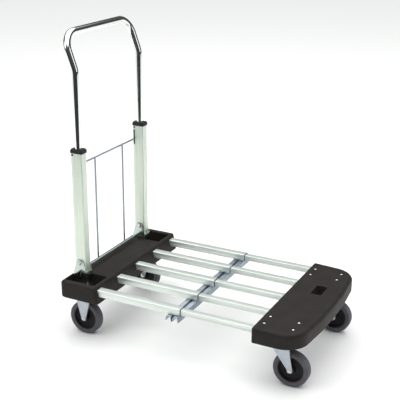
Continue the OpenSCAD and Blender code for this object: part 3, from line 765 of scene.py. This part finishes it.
def hub_profile():
    h = TYRE_HALF
    side = [(6.2, h + 2.3), (11.2, h + 2.3), (11.9, h + 1.8), (12.4, h - 1.5), (13.4, 5.4), (15.2, 4.4),
            (18, 4.0), (21.6, 4.0), (22.2, 4.6), (22.9, 4.6), (23.5, 4.0), (HUB_R - 7.0, 4.0),
            (HUB_R - 5.6, 4.6), (HUB_R - 4.7, 6.2), (HUB_R - 3.9, h - 2.2), (HUB_R - 3.4, h - 1.4),
            (HUB_R - 2.6, h - 1.0), (HUB_R - 0.9, h - 1.0), (HUB_R - 0.3, h - 1.6), (HUB_R - 0.25, 4.2),
            (HUB_R - 1.1, 3.0)]
    return side + [(a, -b) for a, b in reversed(side)]


for end in ("rear", "front"):
    for name, s in SIDES:
        centre = (AXLE_X[end], s * WHEEL_Y, WHEEL_R)
        body = f"wheel_{end}_{name}"
        piece(f"tread_{end}_{name}", body, [f"tyre_{end}_{name}"], RUBBER,
              lambda bm, c=centre: revolve(bm, tyre_profile(), c, (0, 1, 0), 128))
        piece(f"wheel_centre_{end}_{name}", body, [f"hub_{end}_{name}"], HUB,
              lambda bm, c=centre: revolve(bm, hub_profile(), c, (0, 1, 0), 96), sharp=24)

# ---------------------------------------------------------------- forks and axles


def pan(bm, outline, y, s, deep=5.2):
    """A pressed leg: a flat face whose edges turn in towards the wheel. y is its outer face, s the side it faces."""
    outline = dense(anticlockwise([Vector(p) for p in outline]), 8)
    outside = [(deep, 0.0), (2.6, 0.0), (1.5, 0.25), (0.7, 0.8), (0.2, 1.6), (0.0, 2.6)]
    inside = [(1.6, 3.6), (1.9, 2.4), (2.7, 1.7), (deep, 1.5)]
    rows = [[bm.verts.new(on_y(y - s * d)(p) * MM) for p in inset(outline, i)] for d, i in outside]
    rows_in = [[bm.verts.new(on_y(y - s * d)(p) * MM) for p in inset(outline, i)] for d, i in inside]
    for stack in (rows, rows_in, [rows_in[-1], rows[0]]):
        for a, b in zip(stack, stack[1:]):
            for i in range(len(a)):
                j = (i + 1) % len(a)
                bm.faces.new((a[i], a[j], b[j], b[i]))
    bm.faces.new(rows[-1])
    bm.faces.new(rows_in[0])


def front_leg():
    ax, cz = AXLE_X["front"], CROWN_Z
    return rounded([(SWIVEL_X - 19, cz + 3), (SWIVEL_X - 17, cz - 8), (ax - 8.1, WHEEL_R + 1), (ax - 7, WHEEL_R - 8),
                    (ax + 7, WHEEL_R - 8), (ax + 8.1, WHEEL_R + 1), (SWIVEL_X + 30, cz - 4), (SWIVEL_X + 26, cz + 3)],
                   [1.5, 12, 14, 6.8, 6.8, 14, 6, 1.5], 12)


def rear_leg():
    ax, top = AXLE_X["rear"], REAR_PLATE_Z
    return rounded([(ax - 28, top), (ax - 8.1, WHEEL_R + 1), (ax - 7, WHEEL_R - 8), (ax + 7, WHEEL_R - 8),
                    (ax + 8.1, WHEEL_R + 1), (ax + 28, top)], [1.5, 14, 6.8, 6.8, 14, 1.5], 12)


for name, s in SIDES:
    y = s * WHEEL_Y

    def front_fork(bm):
        for k in (-1, 1):
            pan(bm, front_leg(), y + k * (FORK_IN + SHEET), k)
        revolve(bm, [(6.1, 115), (24.5, 115), (26, 115.5), (26, 117.4), (25.4, 118), (14.5, 118),
                     (13.6, 117.4), (12.4, 117.4), (11.5, 118), (6.1, 118)], (SWIVEL_X, y, 0), (0, 0, 1), 64)

    piece(f"front_fork_pressing_{name}", f"caster_{name}", [f"front_fork_{name}"], ZINC, front_fork, sharp=40)

    def race(bm):
        plate(bm, rect(PLATE_L, PLATE_W, 6, SWIVEL_X, y), on_z, plate_lo[2] + 10.6, plate_hi[2], 0.5)
        revolve(bm, [(12, 118.4), (20, 118.4), (23.4, 119.6), (24.6, 121.4), (25, 123.5), (24.6, 126),
                     (25.6, 128.2), (26.5, 129.2), (12, 129.2)], (SWIVEL_X, y, 0), (0, 0, 1), 64)

    piece(f"front_race_{name}", "front_deck", [f"front_caster_plate_{name}"], ZINC, race, sharp=40)

    def rear_fork(bm):
        for k in (-1, 1):
            pan(bm, rear_leg(), y + k * (FORK_IN + SHEET), k)
        plate(bm, rect(PLATE_L, PLATE_W, 6, AXLE_X["rear"], y), on_z, REAR_PLATE_Z, REAR_PLATE_TOP, 0.5)

    piece(f"rear_fork_pressing_{name}", "base", [f"rear_fork_{name}"], ZINC, rear_fork, sharp=40)


def axle_bolt(bm, x, y, s, z=WHEEL_R, half=FORK_IN + SHEET, r=AXLE_BOLT_R):
    """Dome head on side s, a nut with the bolt's end on the other, and the shank between."""
    head(bm, (x, y + s * half, z), (0, s, 0), 1.35 * r, 0.6 * r, 1.6, 0.5)
    hexagon(bm, (x, y - s * half, z), (0, -s, 0), 1.7 * r, 1.1 * r)
    revolve(bm, [(0, -half - 1.4 * r), (0.7 * r, -half - 1.4 * r), (0.9 * r, -half - 1.2 * r), (0.9 * r, -half),
                 (0.98 * r, -half), (0.98 * r, half), (0, half)], (x, y, z), (0, s, 0), 32)


piece("rear_axle_bolts", "base", ["rear_axles"], BRIGHT,
      lambda bm: [axle_bolt(bm, AXLE_X["rear"], s * WHEEL_Y, s) for _, s in SIDES])
for name, s in SIDES:
    piece(f"front_axle_bolt_{name}", f"caster_{name}", [f"front_axle_{name}"], BRIGHT,
          lambda bm, s=s: axle_bolt(bm, AXLE_X["front"], s * WHEEL_Y, s))

# ---------------------------------------------------------------- fasteners


def caster_places(x):
    return [(x + a * CASTER_DX, s * WHEEL_Y + b * CASTER_DY) for a in (-1, 1) for b in (-1, 1) for _, s in SIDES]


(deck_lo, deck_hi) = corners("front_housing")
SINK = 2


def deck_bolts(bm):
    for x, y in caster_places(SWIVEL_X):
        head(bm, (x, y, deck_hi[2] - SINK), (0, 0, 1), 4.4, SINK - 0.1, 1.7, 1.0)
        hexagon(bm, (x, y, 129), (0, 0, -1), 4.6, 4)


def rear_bolts(bm):
    for x, y in caster_places(AXLE_X["rear"]):
        hexagon(bm, (x, y, REAR_PLATE_Z), (0, 0, -1), 4.6, 3.5)


piece("deck_bolts", "front_deck", ["front_deck_bolts"], BRIGHT, deck_bolts)
piece("rear_fork_bolts", "base", ["rear_caster_screws"], BRIGHT, rear_bolts)


def cross_bolt_heads(bm):
    for _, s in SIDES:
        axle_bolt(bm, POST_X, s * POST_Y, s, PIVOT_Z, POST_W / 2 + 2.9)


piece("fold_bolts", "base", ["pivot_bolts"], BRIGHT, cross_bolt_heads)


def bracket_screw_heads(bm):
    for _, s in SIDES:
        for x in (POST_X - 18, POST_X + 40):
            head(bm, (x, s * POST_Y, FLOOR_Z + SHEET), (0, 0, 1), 5, 2.4, 1.9, 1.0)


piece("bracket_screw_heads", "base", ["bracket_screws"], BRIGHT, bracket_screw_heads)

# ---------------------------------------------------------------- hinge brackets, tie rod, cross member


def cheek():
    return rounded([(POST_X - 26, FLOOR_Z), (POST_X + POST_D / 2 + 2.9, FLOOR_Z), (POST_X + POST_D / 2 + 2.9, KNEE_Z),
                    (POST_X + 11.4, PIVOT_Z + 12), (POST_X - 9.2, PIVOT_Z + 12), (POST_X - 22.5, KNEE_Z),
                    (POST_X - 26, FLOOR_Z + 20)], [1, 1, 9, 9.6, 9.6, 12, 10], 10)


for name, s in SIDES:
    y, gap = s * POST_Y, POST_W / 2 + 0.4

    def cheeks(bm):
        for k in (-1, 1):
            plate(bm, cheek(), on_y, y + k * gap, y + k * (gap + SHEET), 0.9)

    def slits(bm):
        lean = math.radians(14)
        c, s_ = math.cos(lean), math.sin(lean)
        box = [(-1.5, -15), (1.5, -15), (1.5, 15), (-1.5, 15)]
        line = [(POST_X + a * c + b * s_, KNEE_Z - 9 - a * s_ + b * c) for a, b in box]
        line = rounded(line, 1.2, 30)
        for k in (-1, 1):
            plate(bm, line, on_y, y + k * (gap - 1), y + k * (gap + SHEET + 1), 0.05)

    def foot(bm):
        x0, x1 = POST_X - 26, POST_X + 48
        plate(bm, rect(x1 - x0, 2 * gap - 0.1, 1, (x0 + x1) / 2, y), on_z, FLOOR_Z, FLOOR_Z + SHEET, 0.3)
        web_x = POST_X + POST_D / 2 + 0.4
        plate(bm, rect(2 * gap - 0.1, WEB_Z - FLOOR_Z, 1.5, y, (WEB_Z + FLOOR_Z) / 2), on_x, web_x, web_x + SHEET, 0.6)

    bracket = as_object(f"hinge_cheeks_{name}", cheeks)
    boolean(bracket, slits)
    boolean(bracket, foot, "UNION")
    finish_piece(bracket, "base", [f"hinge_bracket_{name}"], BRACKET, 38)

(rod_lo, rod_hi) = corners("tie_rod")
rod_ends = [Vector(((rod_lo[0] + rod_hi[0]) / 2, y, (rod_lo[2] + rod_hi[2]) / 2)) for y in (rod_lo[1], rod_hi[1])]
piece("tie_bar", "base", ["tie_rod"], ZINC_ROD,
      lambda bm: sweep(bm, [rod_ends[0].lerp(rod_ends[1], k / 6) for k in range(7)], (rod_hi[2] - rod_lo[2]) / 2, 32))

(sheet_lo, sheet_hi) = corners("cross_member")
LEG_H, SHEET_T = sheet_hi[2] - sheet_lo[2], 1.5


def cross_outline():
    """Two flats between three hanging legs; the middle leg is a narrow V."""
    x0, x1, z = sheet_lo[0], sheet_hi[0], sheet_hi[2]
    mid = (x0 + x1) / 2
    top = [(x0, z - LEG_H), (x0 + 3, z), (mid - 3.5, z), (mid - 0.6, z - LEG_H + SHEET_T)]
    low = [(mid - 2.1, z - LEG_H), (mid - 4.7, z - SHEET_T), (x0 + 4.2, z - SHEET_T), (x0 + 1.5, z - LEG_H)]

    def mirrored(line):
        return [(2 * mid - x, z) for x, z in reversed(line)]

    radii = [0.3, 2.2, 1.8, 0.5]
    radii_low = [1.2, 0.6, 0.9, 0.3]
    return rounded(top + mirrored(top) + mirrored(low) + low,
                   radii + radii[::-1] + radii_low[::-1] + radii_low, 22)


piece("cross_member_sheet", "base", ["cross_member"], ZINC_SHEET,
      lambda bm: plate(bm, cross_outline(), on_y, sheet_lo[1], sheet_hi[1], 0.2), sharp=50)


def rivets(bm):
    for x in (sheet_lo[0] + 10, sheet_hi[0] - 10):
        for y in RAIL_YS:
            head(bm, (x, y, sheet_hi[2] - SHEET_T), (0, 0, -1), 2.9, 1.2, n=20)


piece("cross_member_rivet_heads", "base", ["cross_member_rivets"], BRIGHT, rivets)

# ---------------------------------------------------------------- housings


def rect_ring(x0, x1, half, r0, r1, z_of):
    """A rounded rectangle in plan: corner radius r0 at the back and r1 at the front; z_of(outward x, outward y)
    gives a point's height."""
    out = []
    for cx, cy, r, a0 in ((x0 + r0, -half + r0, r0, PI), (x1 - r1, -half + r1, r1, 1.5 * PI),
                          (x1 - r1, half - r1, r1, 0), (x0 + r0, half - r0, r0, 0.5 * PI)):
        for k in range(9):
            t = a0 + PI / 2 * k / 8
            nx, ny = math.cos(t), math.sin(t)
            out.append(Vector((cx + r * nx, cy + r * ny, z_of(nx, ny))))
    return out


def rear_shell(bm, lo, hi):
    half, low, top = (hi[1] - lo[1]) / 2, lo[2], hi[2]

    def blend(back, side, front):
        return lambda nx, ny: nx * nx * (front if nx > 0 else back) + ny * ny * side

    rings = []
    for t in (math.radians(a) for a in (90, 70, 50, 32, 15, 0)):
        c, d = 1 - math.cos(t), 1 - math.sin(t)
        z = blend(low + 10 * d, low + 3 * d, low + 2 * d)
        rings.append(rect_ring(lo[0] + 10 * c, hi[0] - 2 * c, half - 3 * c, 14, 8, z))
    rings.append(rect_ring(lo[0], hi[0] - 0.3, half, 14, 8, blend(low + 18, low + 11, low + 6)))
    rings.append(rect_ring(lo[0], hi[0] - 4, half, 14, 8, blend(low + 27, low + 27, low + 24)))
    for t in (math.radians(a) for a in (0, 8, 16, 25, 34, 44, 54, 64, 74, 82, 90)):
        c, d = 1 - math.cos(t), 1 - math.sin(t)
        z = blend(top - 9 * d, top - 4 * d, top - 8 * d)
        rings.append(rect_ring(lo[0] + 9 * c, hi[0] - 8 - 8 * c, half - 4 * c, 14, 8, z))
    loft(bm, rings)


def flared_cut(bm, x0, x1, y0, y1, r, low, top, rim):
    """A pocket whose mouth is rounded over by rim."""
    cx, cy = (x0 + x1) / 2, (y0 + y1) / 2
    loops = []
    mouth = [(rim * (1 - math.cos(t)), top - rim + rim * math.sin(t)) for t in (0, 0.35, 0.7, 1.05, 1.35)]
    for grow, z in [(-0.8, low), (-0.25, low + 0.4), (0, low + 1)] + mouth + [(rim, top), (rim, top + 3)]:
        loops.append([on_z(z)(p) for p in rect(x1 - x0 + 2 * grow, y1 - y0 + 2 * grow, r + grow, cx, cy, 15)])
    loft(bm, loops)


def block(bm, x0, x1, y0, y1, z0, z1, r=1.5):
    line = rect(x1 - x0, y1 - y0, r, (x0 + x1) / 2, (y0 + y1) / 2, 30)
    loft(bm, [[on_z(z)(p) for p in line] for z in (z0, z1)])


(house_lo, house_hi) = corners("rear_housing")
(out_lo, out_hi) = corners("outer_rail_3")
RAIL_PITCH = RAIL_YS[1] - RAIL_YS[0]
RIB_HALF = 1.5
RAIL_Z = (out_lo[2] + out_hi[2]) / 2
SKIN, POCKET_IN, POCKET_OUT = 4, POST_Y - 16.5, 217
POCKET_BACK, POCKET_FRONT = POST_X - 28, POST_X + 70

housing = as_object("rear_moulding", lambda bm: rear_shell(bm, house_lo, house_hi))


def rear_hollow(bm):
    x0, x1, low, top = house_lo[0] + SKIN, house_hi[0] - 10, house_lo[2], house_hi[2]
    edge = house_hi[1] - SKIN
    block(bm, x0, x1, -(POCKET_IN - SKIN), POCKET_IN - SKIN, low - 2, top - 5, 3)
    for s in (-1, 1):
        y0, y1 = sorted((s * POCKET_IN, s * edge))
        block(bm, x0, x1, y0, y1, low - 2, FLOOR_Z - SKIN, 3)
        y0, y1 = sorted((s * POCKET_IN, s * POCKET_OUT))
        flared_cut(bm, POCKET_BACK, POCKET_FRONT, y0, y1, 5, FLOOR_Z, top, 2.2)


boolean(housing, rear_hollow)


def rear_ribs(bm):
    low, top = house_lo[2] + 6, house_hi[2] - 4
    for y in (k * 0.9 * RAIL_PITCH for k in (-1.5, -0.5, 0.5, 1.5)):
        block(bm, house_lo[0] + 3, house_hi[0] - 9, y - RIB_HALF, y + RIB_HALF, low, top, 0.6)
    for y in RAIL_YS[1:4]:
        block(bm, out_lo[0] - 5, out_lo[0] + 12, y - 10, y + 10, FLOOR_Z - SKIN, out_lo[2] + 1, 2)


boolean(housing, rear_ribs, "UNION")


def rail_slots(bm, x0, x1, w, h, r):
    for y in RAIL_YS:
        line = rect(w, h, r, y, RAIL_Z, 15)
        loft(bm, [[on_x(x)(p) for p in line] for x in (x0, x1)])


boolean(housing, lambda bm: rail_slots(bm, out_lo[0], house_hi[0] + 6, out_hi[1] - out_lo[1] + 0.2,
                                       out_hi[2] - out_lo[2] + 0.2, 2.6))
finish_piece(housing, "base", ["rear_housing"], PLASTIC, 30)


def deck_line(half):
    back, front = deck_lo[0], deck_hi[0]
    side = [(back, half), (front - 15.5, half), (front - 1.6, 85), (front, 10)]
    radii = [6, 65, 300, 300]
    line = rounded([(x, -y) for x, y in side] + side[::-1], radii + radii[::-1], 6)
    return anticlockwise(dense(line, 14))


def deck_shell(bm):
    low, top = deck_lo[2], deck_hi[2]
    line = deck_line(deck_hi[1])
    round_r = [4.5 + 7.5 * min(1, max(0, (p.x - deck_lo[0] - 4) / 70)) for p in line]
    rings = [[on_z(low + h)(p) for p in inset(line, d)] for h, d in ((0, 1.2), (0.3, 0.5), (0.9, 0.1), (1.6, 0))]
    for t in (math.radians(a) for a in (0, 10, 20, 30, 40, 50, 60, 70, 80, 90)):
        moved = inset(line, [r * (1 - math.cos(t)) for r in round_r])
        rings.append([Vector((p.x, p.y, top - r * (1 - math.sin(t)))) for p, r in zip(moved, round_r)])
    loft(bm, rings)


deck = as_object("deck_moulding", deck_shell)


def deck_hollow(bm):
    x0, x1, half, big = deck_lo[0] + 5, deck_hi[0] - 15, deck_hi[1] - 5, 60
    line = rounded([(x0, -half), (x1, -half), (x1, half), (x0, half)], [3, big, big, 3], 8)
    loft(bm, [[on_z(z)(p) for p in line] for z in (deck_lo[2] - 2, deck_hi[2] - 3.5)])


boolean(deck, deck_hollow)
(in_lo, in_hi) = corners("inner_rail_3")
HAND = (SWIVEL_X + 5, SWIVEL_X + 34, 30, 88)


def deck_ribs(bm):
    low, top = deck_hi[2] - 11.5, deck_hi[2] - 2.5
    for y in (k * RAIL_PITCH for k in (-1.5, -0.5, 0.5, 1.5)):
        block(bm, deck_lo[0] + 4, deck_lo[0] + 132, y - RIB_HALF, y + RIB_HALF, low, top, 0.6)
    for x in (in_hi[0], in_hi[0] + 64):
        block(bm, x, x + 2 * RIB_HALF, -deck_hi[1] + 20, deck_hi[1] - 20, low + 0.3, top + 0.2, 0.6)
    x0, x1, y0, y1 = HAND
    wall = 2 * RIB_HALF
    block(bm, x0 - wall, x1 + wall, y0 - wall, y1 + wall, deck_lo[2] + 4, top + 0.4, 4)
    for x, y in caster_places(SWIVEL_X):
        loft(bm, [[on_z(z)(p) for p in circle(7, x, y, 32)] for z in (deck_lo[2] + 0.01, top + 0.6)])


boolean(deck, deck_ribs, "UNION")


def deck_cuts(bm):
    x0, x1, y0, y1 = HAND
    flared_cut(bm, x0, x1, y0, y1, 3, deck_lo[2] - 3, deck_hi[2], 2.0)
    top = deck_hi[2]
    sink = [(top - SINK, 4.8), (top - 0.6, 4.8), (top, 5.4), (top + 2, 5.4)]
    for x, y in caster_places(SWIVEL_X):
        loft(bm, [[on_z(z)(p) for p in circle(r, x, y, 32)] for z, r in sink])
    rail_slots(bm, deck_lo[0] - 4, in_hi[0], in_hi[1] - in_lo[1] + 0.2, in_hi[2] - in_lo[2] + 0.2, 1.7)


boolean(deck, deck_cuts)
finish_piece(deck, "front_deck", ["front_housing"], PLASTIC, 30)


# ---------------------------------------------------------------- the CAD parts that stay

for node, obj in frame["nodes"].items():
    mat = material_for(node)
    for s in obj.material_slots:
        s.material = mat
